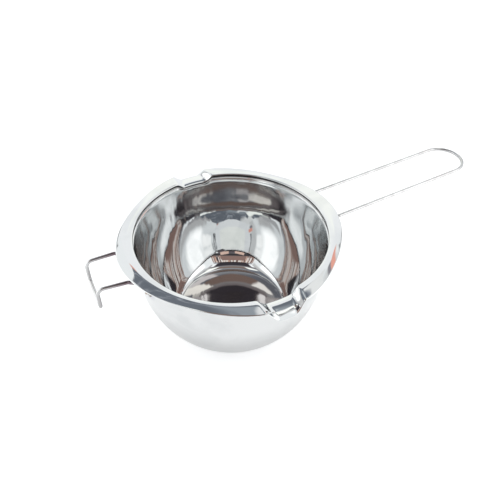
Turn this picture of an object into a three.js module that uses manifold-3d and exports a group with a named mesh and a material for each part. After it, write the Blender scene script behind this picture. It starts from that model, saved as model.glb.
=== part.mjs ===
// Candle melting pot: a thin pressed steel bowl with a wide rim and two pouring spouts,
// a long looped wire handle, and a wire hook that hangs over the edge of an outer pot.
// Both wires are bent down under the rim and welded to the outside of the bowl.
// Units are millimetres, +Z is up. The origin is the centre of the flat base that the pot
// stands on. The handle points along +X, the hook along -X and the spouts along +Y and -Y.

import * as THREE from 'three';
import Module from 'manifold-3d';
import { mergeVertices } from 'three/addons/utils/BufferGeometryUtils.js';

// ---- sheet and bowl ----
const SHEET = 0.7;              // thickness of the pressed sheet
const POT_HEIGHT = 72;          // base to the crown of the rim
const WALL_DIAMETER = 122.4;    // outside of the bowl's straight upper wall
const STRAIGHT_WALL = 16;       // length of that wall under the collar
const HEEL_DIAMETER = 88;       // inside, where the round wall turns in to the base
const HEEL_HEIGHT = 6;          // height of the same place
const BASE_DIAMETER = 73;       // flat part of the base

// ---- collar and rim ----
const COLLAR_STEP = 0.8;        // how far the collar stands out from the wall
const COLLAR_FLARE = 0.2;       // how much further out its top is than its foot
const COLLAR_HEIGHT = 3.8;      // foot of the collar to the crown of the rim
const RIM_BEND = 1;             // height and width of the bend from collar to rim
const CROWN_WIDTH = 1.5;        // top of that bend out to the rim's crown
const CROWN_RISE = 0.15;        // top of that bend up to the rim's crown
const RIM_DIAMETER = 140;       // mean diameter of the rim's edge
const RIM_DROP = 1;             // fall of the rim from its crown to its edge
const RIM_BULGE = 1.9;          // the edge stands further out at spouts, handle and hook

// ---- pouring spouts, pressed into the rim ----
const SPOUT_DEPTH = 5.3;        // crown of the rim to the channel's floor
const SPOUT_REACH = 1.5;        // how far the lip passes the rim's edge
const SPOUT_FLOOR_INNER = 18.6; // width of the floor at the bowl
const SPOUT_FLOOR_LIP = 10.6;   // width of the floor at the lip
const SPOUT_MOUTH_INNER = 27.4; // width between the top edges at the bowl
const SPOUT_MOUTH_LIP = 22.4;   // width between the top edges at the lip

// ---- wire of handle and hook ----
const WIRE_DIAMETER = 2.2;
const GAP = 0.3;                // clearance between neighbouring pieces
const FOOT_DROP = 9.5;          // crown of the rim to where a leg meets the wall
const FOOT_LENGTH = 7;          // part of the wire that lies on the wall
const FOOT_BEND = 3;            // bend radius of the wire's centre line at the bowl

const HANDLE_REACH = 183.4;     // bowl axis to the outside of the handle's loop
const HANDLE_WIDTH = 29;        // between the centres of the handle's legs
const HANDLE_RISE = 0.073;      // rise of its legs for each millimetre outwards

const HOOK_REACH = 89.4;        // bowl axis to the outside of the hook
const HOOK_WIDTH = 25;          // between leg centres at the outer end
const HOOK_FOOT_WIDTH = 26.8;   // between leg centres at the bowl
const HOOK_RISE = 0.034;        // rise of its legs for each millimetre outwards
const HOOK_DROP = 14.8;         // length of the turned-down legs
const HOOK_SHOULDER_BEND = 4;
const HOOK_CORNER_BEND = 2.6;

// ---- weld beads at the four wire feet ----
const WELD_LENGTH = 9;
const WELD_WIDTH = 6.4;
const WELD_HEIGHT = 1.6;        // above the bowl's wall
const WELD_RAISE = 1.2;         // centre of the bead above the wire's cut end

// ---- fineness of the round shapes ----
const BOWL_SEGMENTS = 96;
const SPOUT_CROWDING = 0.3;     // gathers the bowl's segments round the spouts, 0 to 0.5
const WALL_STEPS = 8;
const HEEL_STEPS = 4;
const RIM_BEND_STEPS = 3;
const WIRE_SIDES = 12;
const BEND_STEP = Math.PI / 12; // angle between two rings of a wire bend

const wireRadius = WIRE_DIAMETER / 2;
const wallRadius = WALL_DIAMETER / 2;
const innerWallRadius = wallRadius - SHEET;
const collarRadius = innerWallRadius + COLLAR_STEP;
const bendRadius = collarRadius + COLLAR_FLARE + RIM_BEND;
const bendHeight = POT_HEIGHT - CROWN_RISE;
const crownRadius = bendRadius + CROWN_WIDTH;
const rimRadius = RIM_DIAMETER / 2;
const rimLobeRadius = rimRadius + RIM_BULGE;
const stepHeight = POT_HEIGHT - COLLAR_HEIGHT;
const footTop = POT_HEIGHT - FOOT_DROP;
const footEnd = footTop - FOOT_LENGTH;
const legHeight = POT_HEIGHT - RIM_DROP - SHEET - GAP - wireRadius;

const wasm = await Module();
wasm.setup();

function steel(color, roughness) {
  return new THREE.MeshStandardMaterial({ color, roughness, metalness: 1 });
}

function ramp(value, from, to) {
  return THREE.MathUtils.clamp((value - from) / (to - from), 0, 1);
}

// ---- bowl ----

// Points of the round wall's inner surface, an ellipse that runs from the heel up to the
// straight wall, and its slope (radius over height) at the heel.
function roundWall() {
  const top = stepHeight - COLLAR_STEP - STRAIGHT_WALL;
  const heelShare = HEEL_DIAMETER / 2 / innerWallRadius;
  const heelAngle = Math.acos(heelShare);
  const depth = (top - HEEL_HEIGHT) / Math.sin(heelAngle);
  const points = [];
  for (let i = 0; i <= WALL_STEPS; i++) {
    const angle = heelAngle * (1 - i / WALL_STEPS);
    points.push(new THREE.Vector2(
      innerWallRadius * Math.cos(angle),
      top - depth * Math.sin(angle),
    ));
  }
  const slope = (innerWallRadius * Math.sin(heelAngle)) / (depth * heelShare);
  return { points, slope };
}

// Inner surface of the sheet, from the centre of the base out to the rim's edge.
function innerProfile() {
  const wall = roundWall();
  const heel = wall.points[0];
  const flatEnd = new THREE.Vector2(BASE_DIAMETER / 2, SHEET);
  const corner = new THREE.Vector2(heel.x - wall.slope * (heel.y - SHEET), SHEET);
  const heelCurve = new THREE.QuadraticBezierCurve(flatEnd, corner, heel);
  const points = [new THREE.Vector2(0, SHEET), ...heelCurve.getPoints(HEEL_STEPS)];
  points.push(...wall.points.slice(1));
  points.push(new THREE.Vector2(innerWallRadius, stepHeight - COLLAR_STEP));
  points.push(new THREE.Vector2(collarRadius, stepHeight));
  for (let i = 0; i <= RIM_BEND_STEPS; i++) {
    const turn = (Math.PI / 2) * (i / RIM_BEND_STEPS);
    points.push(new THREE.Vector2(
      bendRadius - RIM_BEND * Math.cos(turn),
      bendHeight - RIM_BEND * (1 - Math.sin(turn)),
    ));
  }
  points.push(new THREE.Vector2(crownRadius, POT_HEIGHT));
  points.push(new THREE.Vector2((crownRadius + rimRadius) / 2, POT_HEIGHT - RIM_DROP / 3));
  points.push(new THREE.Vector2(rimRadius, POT_HEIGHT - RIM_DROP));
  return points;
}

// The same line moved out by the sheet's thickness, square to the surface.
function outerProfile(points) {
  return points.map((point, i) => {
    if (point.x <= BASE_DIAMETER / 2) return new THREE.Vector2(point.x, point.y - SHEET);
    const before = points[i - 1];
    const after = points[Math.min(points.length - 1, i + 1)];
    const along = new THREE.Vector2().subVectors(after, before).normalize();
    return new THREE.Vector2(point.x + along.y * SHEET, point.y - along.x * SHEET);
  });
}

// How far a place on the rim is pressed down: 1 on a spout's floor, 0 beside the spout.
function spoutShare(across, radius) {
  const outward = ramp(radius, innerWallRadius, rimLobeRadius + SPOUT_REACH);
  const floor = THREE.MathUtils.lerp(SPOUT_FLOOR_INNER, SPOUT_FLOOR_LIP, outward) / 2;
  const mouth = THREE.MathUtils.lerp(SPOUT_MOUTH_INNER, SPOUT_MOUTH_LIP, outward) / 2;
  return 1 - ramp(Math.abs(across), floor, mouth);
}

// Moves a point of the turned sheet to its pressed place. The rim's edge swells out in
// four lobes, and the sheet above a spout's floor is pressed down to that floor.
function pressPoint(point, floorHeight) {
  const turned = Math.atan2(point.y, point.x);
  const angle = turned + SPOUT_CROWDING * Math.sin(2 * turned);
  const turnedRadius = Math.hypot(point.x, point.y);
  const outward = ramp(turnedRadius, collarRadius, rimRadius);
  const lobed = turnedRadius + outward * RIM_BULGE * Math.cos(4 * angle);
  const share = spoutShare(lobed * Math.cos(angle), lobed);
  const radius = lobed + outward * share * SPOUT_REACH;
  const pressed = THREE.MathUtils.lerp(point.z, floorHeight, share);
  point.set(
    radius * Math.cos(angle),
    radius * Math.sin(angle),
    Math.min(point.z, Math.max(pressed, floorHeight)),
  );
}

function bowlGeometry() {
  const inner = innerProfile();
  const outer = outerProfile(inner);
  const profile = [...outer, ...inner.toReversed()];
  const geometry = new THREE.LatheGeometry(profile, BOWL_SEGMENTS);
  geometry.rotateX(Math.PI / 2);

  const floorHeight = POT_HEIGHT - SPOUT_DEPTH;
  const position = geometry.getAttribute('position');
  const point = new THREE.Vector3();
  for (let i = 0; i < position.count; i++) {
    const underside = i % profile.length < outer.length;
    point.fromBufferAttribute(position, i);
    pressPoint(point, underside ? floorHeight - SHEET : floorHeight);
    position.setXYZ(i, point.x, point.y, point.z);
  }
  return geometry;
}

// ---- wires ----

// A wire bent at given corners: straight runs joined by round bends. The rings of the
// swept section lie at the ends of the straight runs and along each bend.
class BentWire extends THREE.Curve {
  constructor(corners) {
    super();
    const last = corners.length - 1;
    this.points = [corners[0].at];
    this.tangents = [this.direction(corners[0].at, corners[1].at)];
    for (let i = 1; i < last; i++) {
      this.addBend(corners[i - 1].at, corners[i], corners[i + 1].at);
    }
    this.points.push(corners[last].at);
    this.tangents.push(this.direction(corners[last - 1].at, corners[last].at));
  }

  direction(from, to) {
    return new THREE.Vector3().subVectors(to, from).normalize();
  }

  addBend(before, corner, after) {
    const incoming = this.direction(before, corner.at);
    const outgoing = this.direction(corner.at, after);
    const turn = incoming.angleTo(outgoing);
    const side = outgoing.clone().addScaledVector(incoming, -outgoing.dot(incoming)).normalize();
    const start = corner.at.clone().addScaledVector(incoming, -corner.bend * Math.tan(turn / 2));
    const steps = Math.ceil(turn / BEND_STEP);
    for (let i = 0; i <= steps; i++) {
      const angle = turn * (i / steps);
      this.points.push(start.clone()
        .addScaledVector(incoming, corner.bend * Math.sin(angle))
        .addScaledVector(side, corner.bend * (1 - Math.cos(angle))));
      this.tangents.push(new THREE.Vector3()
        .addScaledVector(incoming, Math.cos(angle))
        .addScaledVector(side, Math.sin(angle)));
    }
  }

  get steps() {
    return this.points.length - 1;
  }

  getPointAt(share) {
    return this.points[Math.round(share * this.steps)].clone();
  }

  getTangentAt(share) {
    return this.tangents[Math.round(share * this.steps)].clone();
  }
}

function sweepWire(corners) {
  const section = new THREE.Shape();
  section.absarc(0, 0, wireRadius, 0, 2 * Math.PI);
  const path = new BentWire(corners);
  return new THREE.ExtrudeGeometry(section, {
    extrudePath: path,
    steps: path.steps,
    curveSegments: WIRE_SIDES / 2,
  });
}

// Distance along X from the bowl's axis to the centre of a wire foot on its wall.
function footReach(across) {
  return Math.sqrt((wallRadius + GAP + wireRadius) ** 2 - across ** 2);
}

// Corners of one leg from its cut end to where it leaves the shelter of the rim's edge.
function footCorners(across) {
  const reach = footReach(across);
  return [
    { at: new THREE.Vector3(reach, across, footEnd) },
    { at: new THREE.Vector3(reach, across, footTop), bend: FOOT_BEND },
    { at: new THREE.Vector3(rimLobeRadius - wireRadius, across, legHeight), bend: FOOT_BEND },
  ];
}

function legHeightAt(reach, rise) {
  return legHeight + rise * (reach - rimLobeRadius + wireRadius);
}

function handleGeometry() {
  const half = HANDLE_WIDTH / 2;
  const loop = HANDLE_REACH - wireRadius;
  const loopBend = half - WIRE_DIAMETER / 4;
  const height = legHeightAt(loop, HANDLE_RISE);
  return sweepWire([
    ...footCorners(half),
    { at: new THREE.Vector3(loop, half, height), bend: loopBend },
    { at: new THREE.Vector3(loop, -half, height), bend: loopBend },
    ...footCorners(-half).toReversed(),
  ]);
}

function hookGeometry() {
  const half = HOOK_WIDTH / 2;
  const foot = HOOK_FOOT_WIDTH / 2;
  const reach = HOOK_REACH - wireRadius;
  const top = legHeightAt(reach, HOOK_RISE);
  const bottom = top - HOOK_DROP;
  const geometry = sweepWire([
    ...footCorners(foot),
    { at: new THREE.Vector3(reach, half, top), bend: HOOK_SHOULDER_BEND },
    { at: new THREE.Vector3(reach, half, bottom), bend: HOOK_CORNER_BEND },
    { at: new THREE.Vector3(reach, -half, bottom), bend: HOOK_CORNER_BEND },
    { at: new THREE.Vector3(reach, -half, top), bend: HOOK_SHOULDER_BEND },
    ...footCorners(-foot).toReversed(),
  ]);
  geometry.rotateZ(Math.PI);
  return geometry;
}

// ---- weld beads ----

function toSolid(geometry) {
  geometry.deleteAttribute('normal');
  geometry.deleteAttribute('uv');
  const merged = mergeVertices(geometry);
  return new wasm.Manifold(new wasm.Mesh({
    numProp: 3,
    vertProperties: new Float32Array(merged.getAttribute('position').array),
    triVerts: new Uint32Array(merged.getIndex().array),
  }));
}

function toGeometry(solid) {
  const mesh = solid.getMesh();
  const geometry = new THREE.BufferGeometry();
  geometry.setAttribute('position', new THREE.BufferAttribute(mesh.vertProperties, 3));
  geometry.setIndex(new THREE.BufferAttribute(mesh.triVerts, 1));
  geometry.computeVertexNormals();
  return geometry;
}

function uprightCylinder(radius, bottom, top, sides) {
  const geometry = new THREE.CylinderGeometry(radius, radius, top - bottom, sides);
  geometry.rotateX(Math.PI / 2);
  geometry.translate(0, 0, (top + bottom) / 2);
  return geometry;
}

// A low bead on the wall that wraps the foot of a wire on both sides and below its end.
function weldGeometry(across) {
  const reach = footReach(across);
  const centre = footEnd + WELD_RAISE;
  const bead = new THREE.SphereGeometry(1, 20, 12);
  bead.scale(WELD_HEIGHT, WELD_WIDTH / 2, WELD_LENGTH / 2);
  bead.translate(wallRadius, 0, centre);
  bead.rotateZ(Math.atan2(across, reach));

  const wall = uprightCylinder(wallRadius + GAP, 0, POT_HEIGHT, BOWL_SEGMENTS);
  const foot = uprightCylinder(wireRadius + GAP, footEnd - GAP, POT_HEIGHT, WIRE_SIDES * 2);
  foot.translate(reach, across, 0);
  return toGeometry(toSolid(bead).subtract(toSolid(wall)).subtract(toSolid(foot)));
}

// ---- assembly ----

const pot = new THREE.Group();

function addPiece(name, geometry, material, turn = 0) {
  const mesh = new THREE.Mesh(geometry, material);
  mesh.name = name;
  mesh.rotation.z = turn;
  pot.add(mesh);
}

addPiece('bowl', bowlGeometry(), steel(0xd8dcdd, 0.08));
addPiece('handle', handleGeometry(), steel(0xc9cdce, 0.2));
addPiece('hook', hookGeometry(), steel(0xc9cdce, 0.2));
for (const [side, sign] of [['left', 1], ['right', -1]]) {
  const handleFoot = sign * HANDLE_WIDTH / 2;
  const hookFoot = -sign * HOOK_FOOT_WIDTH / 2;
  addPiece(`handle_weld_${side}`, weldGeometry(handleFoot), steel(0xa9a7a2, 0.45));
  addPiece(`hook_weld_${side}`, weldGeometry(hookFoot), steel(0xa9a7a2, 0.45), Math.PI);
}

export default pot;
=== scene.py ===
# %% [markdown]
# # A candle melting pot
#
# The pot is a thin polished bowl with a wide rim and two pouring spouts. A long wire loop
# is its handle, and a short wire hook opposite hangs over the edge of an outer pan. Each
# cell below makes one piece or one finish. The cell before it says what the piece is on
# the real pot, how it could be made, and why it is made the way it is.
#
# The first cell loads the engineering model. It is the fixed frame: its boxes give every
# position here, so a finished piece lands where the solid of the same part is.

import functools
import math

import bpy
from mathutils import Matrix, Vector


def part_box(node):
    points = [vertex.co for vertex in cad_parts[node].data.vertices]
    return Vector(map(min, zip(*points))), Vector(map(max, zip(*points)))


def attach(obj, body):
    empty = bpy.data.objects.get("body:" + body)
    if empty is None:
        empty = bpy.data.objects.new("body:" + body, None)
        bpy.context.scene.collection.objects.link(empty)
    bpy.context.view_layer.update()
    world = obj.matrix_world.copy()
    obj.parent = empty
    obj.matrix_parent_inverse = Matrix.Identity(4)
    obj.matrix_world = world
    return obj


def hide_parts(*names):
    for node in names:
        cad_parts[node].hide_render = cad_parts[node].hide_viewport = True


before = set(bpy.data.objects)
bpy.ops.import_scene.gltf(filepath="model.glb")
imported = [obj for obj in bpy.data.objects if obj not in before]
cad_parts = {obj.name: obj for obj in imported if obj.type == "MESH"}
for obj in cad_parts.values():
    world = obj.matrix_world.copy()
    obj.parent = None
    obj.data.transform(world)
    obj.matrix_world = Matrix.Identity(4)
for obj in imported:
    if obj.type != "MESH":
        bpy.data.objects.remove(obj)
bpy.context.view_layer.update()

MM = 0.001
bowl_low, bowl_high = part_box("bowl")
handle_low, handle_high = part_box("handle")
hook_low, hook_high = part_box("hook")
print("bowl box, mm:", [round(v / MM, 2) for v in (*bowl_low, *bowl_high)])
print("handle box, mm:", [round(v / MM, 2) for v in (*handle_low, *handle_high)])
print("hook box, mm:", [round(v / MM, 2) for v in (*hook_low, *hook_high)])

# %% [markdown]
# ## The camera
#
# A camera could be set by typing its matrix. It is easier to read as one would say it: the
# point aimed at, the turn round the pot, the rise over it, the distance and the lens.
# `to_track_quat` then turns the camera so that it looks along that line.

# %% Camera
AIM_POINT = Vector((8.02, -10.43, 60.0)) * MM
CAMERA_TURN = math.radians(-117.498)
CAMERA_RISE = math.radians(42.467)
CAMERA_ROLL = math.radians(1.248)
CAMERA_DISTANCE = 334.08 * MM
SENSOR_WIDTH = 36.0
LENS = 38.15
NEAREST_SEEN = 10 * MM

view_line = Vector((
    math.cos(CAMERA_TURN) * math.cos(CAMERA_RISE),
    math.sin(CAMERA_TURN) * math.cos(CAMERA_RISE),
    math.sin(CAMERA_RISE),
))
camera_data = bpy.data.cameras.new("camera")
camera_data.sensor_width = SENSOR_WIDTH
camera_data.lens = LENS
camera_data.clip_start = NEAREST_SEEN
camera = bpy.data.objects.new("camera", camera_data)
bpy.context.scene.collection.objects.link(camera)
upright = view_line.to_track_quat("Z", "Y").to_matrix().to_4x4()
camera.matrix_world = (
    Matrix.Translation(AIM_POINT + view_line * CAMERA_DISTANCE)
    @ upright
    @ Matrix.Rotation(CAMERA_ROLL, 4, "Z")
)
bpy.context.scene.camera = camera
print("camera at, mm:", [round(v / MM, 1) for v in camera.matrix_world.translation])

# %% [markdown]
# ## A helper that writes node trees
#
# Geometry Nodes and materials are both trees of nodes. Adding each node and each link by
# hand takes many lines, so this small class does it: `node` adds one, connects what it is
# given and gives back the socket that the next node reads, and `math` adds one sum.

# %% Node helper
class Tree:
    def __init__(self, tree):
        self.tree = tree

    def node(self, kind, *inputs, output=0, named=None, **settings):
        """Adds a node, sets its options, feeds its sockets and returns one output."""
        node = self.tree.nodes.new(kind)
        for name, setting in settings.items():
            setattr(node, name, setting)
        for slot, source in list(enumerate(inputs)) + list((named or {}).items()):
            if source is None:
                continue
            if isinstance(source, bpy.types.NodeSocket):
                self.tree.links.new(source, node.inputs[slot])
            else:
                node.inputs[slot].default_value = source
        return node.outputs[output]

    def math(self, operation, *inputs):
        return self.node("ShaderNodeMath", *inputs, operation=operation)

    def vector(self, operation, *inputs, output=0):
        return self.node("ShaderNodeVectorMath", *inputs, operation=operation, output=output)

    def add(self, a, b):
        return self.math("ADD", a, b)

    def sub(self, a, b):
        return self.math("SUBTRACT", a, b)

    def mul(self, a, b):
        return self.math("MULTIPLY", a, b)

    def total(self, *terms):
        return functools.reduce(self.add, terms)

    def product(self, *factors):
        return functools.reduce(self.mul, factors)

    def ramp(self, value, low, high, to_low=0.0, to_high=1.0, smooth=False):
        """A share of the way from low to high, held at both ends."""
        kind = "SMOOTHSTEP" if smooth else "LINEAR"
        return self.node("ShaderNodeMapRange", value, low, high, to_low, to_high,
                         interpolation_type=kind)

    def split(self, vector):
        return tuple(self.node("ShaderNodeSeparateXYZ", vector).node.outputs)


class GeometryTree(Tree):
    """A Geometry Nodes tree with named inputs for the sizes of a piece."""

    def __init__(self, name, sizes):
        super().__init__(bpy.data.node_groups.new(name, "GeometryNodeTree"))
        face = self.tree.interface
        face.new_socket("Geometry", in_out="INPUT", socket_type="NodeSocketGeometry")
        face.new_socket("Geometry", in_out="OUTPUT", socket_type="NodeSocketGeometry")
        face.new_socket("Material", in_out="INPUT", socket_type="NodeSocketMaterial")
        for size, start in sizes.items():
            kind = "NodeSocketInt" if isinstance(start, int) else "NodeSocketFloat"
            face.new_socket(size, in_out="INPUT", socket_type=kind).default_value = start
        self.entry = self.tree.nodes.new("NodeGroupInput")
        self.exit = self.tree.nodes.new("NodeGroupOutput")

    def size(self, name):
        return self.entry.outputs[name]

    def finish(self, mesh):
        """Smooth faces, real meshes instead of instances, and one material."""
        smooth = self.node("GeometryNodeSetShadeSmooth", mesh)
        real = self.node("GeometryNodeRealizeInstances", smooth)
        done = self.node("GeometryNodeSetMaterial", real,
                         named={"Material": self.size("Material")})
        self.tree.links.new(done, self.exit.inputs["Geometry"])


def make_piece(name, start_mesh, tree, material, **sizes):
    """Runs a tree on a start mesh and keeps the result as a plain mesh."""
    piece = bpy.data.objects.new(name, start_mesh)
    bpy.context.scene.collection.objects.link(piece)
    modifier = piece.modifiers.new("make", "NODES")
    modifier.node_group = tree.tree
    sockets = {item.name: item.identifier for item in tree.tree.interface.items_tree
               if item.in_out == "INPUT"}
    modifier[sockets["Material"]] = material
    for size, value in sizes.items():
        modifier[sockets[size.replace("_", " ").capitalize()]] = value
    bpy.context.view_layer.update()
    evaluated = piece.evaluated_get(bpy.context.evaluated_depsgraph_get())
    finished = bpy.data.meshes.new_from_object(evaluated)
    piece.modifiers.clear()
    piece.data = finished
    piece.data.name = name
    print(name, "faces:", len(finished.polygons))
    return piece


def line_mesh(name, points, **values):
    """A chain of points as a mesh of edges, with one number of each kind at each point."""
    mesh = bpy.data.meshes.new(name)
    mesh.from_pydata(points, [(i, i + 1) for i in range(len(points) - 1)], [])
    for value, numbers in values.items():
        mesh.attributes.new(value, "FLOAT", "POINT").data.foreach_set("value", numbers)
    return mesh

# %% [markdown]
# ## Marks that every finish shares
#
# Three effects appear on more than one finish: cloudy smudges left by wiping, the fine
# lines that a polishing wheel or a drawing die leaves, and the straw and blue tint that
# heat leaves beside a weld. Each could be drawn again in every material. Here each is a
# node group, built once, with named inputs, and each material sets its own values. A group
# gives back only a mask, a height or a colour. The shader stays in the material.

# %% Shared marks
SMUDGE_START = 0.8
SMUDGE_BORDER = 0.22
FINE_LINE_SCALE = 3.7
COARSE_SHARE = 0.6
STRAW_FULL = 0.25        # shares of the way from a weld to the end of its heat
BLUE_START, BLUE_FULL, BLUE_END = 0.2, 0.45, 0.8
MIX_SHARE, MIX_FIRST, MIX_SECOND, MIX_COLOUR = 0, 6, 7, 2    # sockets of a colour mix


class ShaderGroup(Tree):
    """A shader node group with named inputs and outputs."""

    def __init__(self, name, inputs, outputs):
        super().__init__(bpy.data.node_groups.new(name, "ShaderNodeTree"))
        kinds = {float: "NodeSocketFloat", tuple: "NodeSocketVector"}
        for way, sockets in (("INPUT", inputs), ("OUTPUT", outputs)):
            for label, start in sockets.items():
                self.tree.interface.new_socket(label, in_out=way, socket_type=kinds[type(start)])
        self.entry = self.tree.nodes.new("NodeGroupInput")
        self.exit = self.tree.nodes.new("NodeGroupOutput")

    def use(self, t, label, **values):
        """Places the group in another tree and gives back one of its outputs."""
        node = t.tree.nodes.new("ShaderNodeGroup")
        node.node_tree = self.tree
        for name, value in values.items():
            socket = node.inputs[name.replace("_", " ")]
            if isinstance(value, bpy.types.NodeSocket):
                t.tree.links.new(value, socket)
            else:
                socket.default_value = value
        return node.outputs[label]


def smudge_group():
    """Soft clouds, 1 where the metal is wiped dull and 0 where it is bright."""
    g = ShaderGroup("smudges", {"place": (), "size": 0.0, "cover": 0.0}, {"mask": 0.0})
    place = g.vector("DIVIDE", g.entry.outputs["place"],
                     g.node("ShaderNodeCombineXYZ", *[g.entry.outputs["size"]] * 3))
    clouds = g.node("ShaderNodeTexNoise", named={
        "Vector": place, "Scale": 1.0, "Detail": 5.0, "Roughness": 0.55, "Distortion": 0.6})
    start = g.mul(g.sub(1.0, g.entry.outputs["cover"]), SMUDGE_START)
    mask = g.ramp(clouds, start, g.add(start, SMUDGE_BORDER), smooth=True)
    g.tree.links.new(mask, g.exit.inputs["mask"])
    return g


def line_group():
    """Fine lines that run one way: the place is squeezed along the lines."""
    g = ShaderGroup("fine lines", {"place": (), "spacing": 0.0}, {"height": 0.0})
    place = g.vector("DIVIDE", g.entry.outputs["place"],
                     g.node("ShaderNodeCombineXYZ", *[g.entry.outputs["spacing"]] * 3))
    coarse = g.node("ShaderNodeTexNoise", named={
        "Vector": place, "Scale": 1.0, "Detail": 3.0, "Roughness": 0.6})
    fine = g.node("ShaderNodeTexNoise", named={
        "Vector": place, "Scale": FINE_LINE_SCALE, "Detail": 2.0, "Roughness": 0.6})
    height = g.add(g.mul(coarse, COARSE_SHARE), g.mul(fine, 1 - COARSE_SHARE))
    g.tree.links.new(height, g.exit.inputs["height"])
    return g


def heat_group():
    """Masks round one weld: 1 at the weld, and a ring of blue a little way off."""
    g = ShaderGroup("heat tint", {"place": (), "weld": (), "reach": 0.0},
                    {"straw": 0.0, "blue": 0.0})
    away = g.vector("DISTANCE", g.entry.outputs["place"], g.entry.outputs["weld"],
                    output="Value")
    share = g.math("DIVIDE", away, g.entry.outputs["reach"])
    straw = g.ramp(share, STRAW_FULL, 1.0, 1.0, 0.0, smooth=True)
    blue = g.mul(g.ramp(share, BLUE_START, BLUE_FULL, smooth=True),
                 g.ramp(share, BLUE_FULL, BLUE_END, 1.0, 0.0))
    g.tree.links.new(straw, g.exit.inputs["straw"])
    g.tree.links.new(blue, g.exit.inputs["blue"])
    return g


smudges = smudge_group()
fine_lines = line_group()
heat_tint = heat_group()


def mix(t, first, second, share):
    """Blends two colours, given as sockets or as plain numbers."""
    first, second = [c if isinstance(c, bpy.types.NodeSocket) else (*c, 1)
                     for c in (first, second)]
    return t.node("ShaderNodeMix", data_type="RGBA", output=MIX_COLOUR,
                  named={MIX_SHARE: share, MIX_FIRST: first, MIX_SECOND: second})


def steel(name):
    """An empty metal material, its tree and its shader."""
    material = bpy.data.materials.new(name)
    material.use_nodes = True
    shader = material.node_tree.nodes["Principled BSDF"]
    shader.inputs["Metallic"].default_value = 1
    return material, Tree(material.node_tree), shader


def connect(t, shader, **sources):
    for socket, source in sources.items():
        t.tree.links.new(source, shader.inputs[socket.replace("_", " ")])


print("shared marks:", [g.tree.name for g in (smudges, fine_lines, heat_tint)])

# %% [markdown]
# ## Polished sheet
#
# The bowl is polished on a wheel while it turns, so its fine lines run round it. The wheel
# reaches the bottom and the outside best and leaves the upper wall a little softer. It
# can't reach the groove under the rim at all. The groove's near black colour is painted
# shade, where the rim's undercut shadows the step, and a painted warm shade runs down the
# collar below it. A plain mirror would look like a drawing, so the gloss itself varies:
# lines, clouds from wiping, the softer belt and the rougher groove. The flat of the base is
# tinted warm, a painted reflection, and the welds leave a faint blue ring on the outer face.
# Everything is read from the place on the piece, never from the camera, so the marks stay
# where they are from every side. The groove is the one exception: the spouts push it down
# with them, so it follows a number that each point of the bowl keeps, its height before
# pressing.

# %% Polished sheet
SHEET_COLOUR = (0.722, 0.733, 0.737)
SHEET_CLOUD = (0.662, 0.676, 0.682)
# The warm tint on the flat of the base is a painted reflection.
BASE_REFLECTION_TINT = (0.70, 0.65, 0.635)
# Painted shade: a near black band in the groove, and a warm shade on the collar below it.
GROOVE_SHADE_COLOUR = (0.02, 0.021, 0.024)
COLLAR_SHADE_COLOUR = (0.36, 0.24, 0.20)
WELD_BLUE = (0.50, 0.49, 0.56)
COLLAR_HEIGHT = 3.8 * MM
COLLAR_FOOT = bowl_high.z - COLLAR_HEIGHT
COLLAR_BORDER = 0.5 * MM
GROOVE_LOW = bowl_high.z - 2.4 * MM
GROOVE_HIGH = bowl_high.z - 0.8 * MM
GROOVE_LOW_BORDER = 0.3 * MM
GROOVE_HIGH_BORDER = 0.25 * MM
GROOVE_OUTSIDE = 61.45 * MM
GROOVE_SIDE_BORDER = 0.1 * MM
BELT_FOOT = 36 * MM
BELT_FULL = 56 * MM
BASE_EDGE = 37 * MM
BASE_FADE = 3 * MM
BASE_SKIN = (0.4 * MM, 0.6 * MM)     # above these heights lies the base's inner face
OUTER_FADE = 10 * MM
SHEET_LINES = 0.9 * MM
LINE_DRIFT = 4 * MM
SHEET_BLUE_REACH = 9 * MM
CLOUD_SHARE, BLUE_SHARE, COLLAR_SHADE_SHARE = 0.8, 0.6, 0.2
SHEET_GLOSS, BELT_DULL, CLOUD_DULL, SPECK_DULL, GROOVE_DULL = 0.022, 0.055, 0.035, 0.02, 0.3
PLAIN_LINES, BELT_LINES = 0.3, 0.7   # depth of the fine lines, plain and added in the belt
HOOK_WELDS = ("hook_weld_left", "hook_weld_right")
WELD_NODES = ("handle_weld_left", "handle_weld_right", *HOOK_WELDS)


def weld_mask(t, label, place, reach, welds=WELD_NODES):
    """One mask of the heat tint, round all the given welds together."""
    middles = [sum(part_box(node), Vector()) / 2 for node in welds]
    masks = [heat_tint.use(t, label, place=place, weld=tuple(middle), reach=reach)
             for middle in middles]
    return functools.reduce(lambda a, b: t.math("MAXIMUM", a, b), masks)


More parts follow.
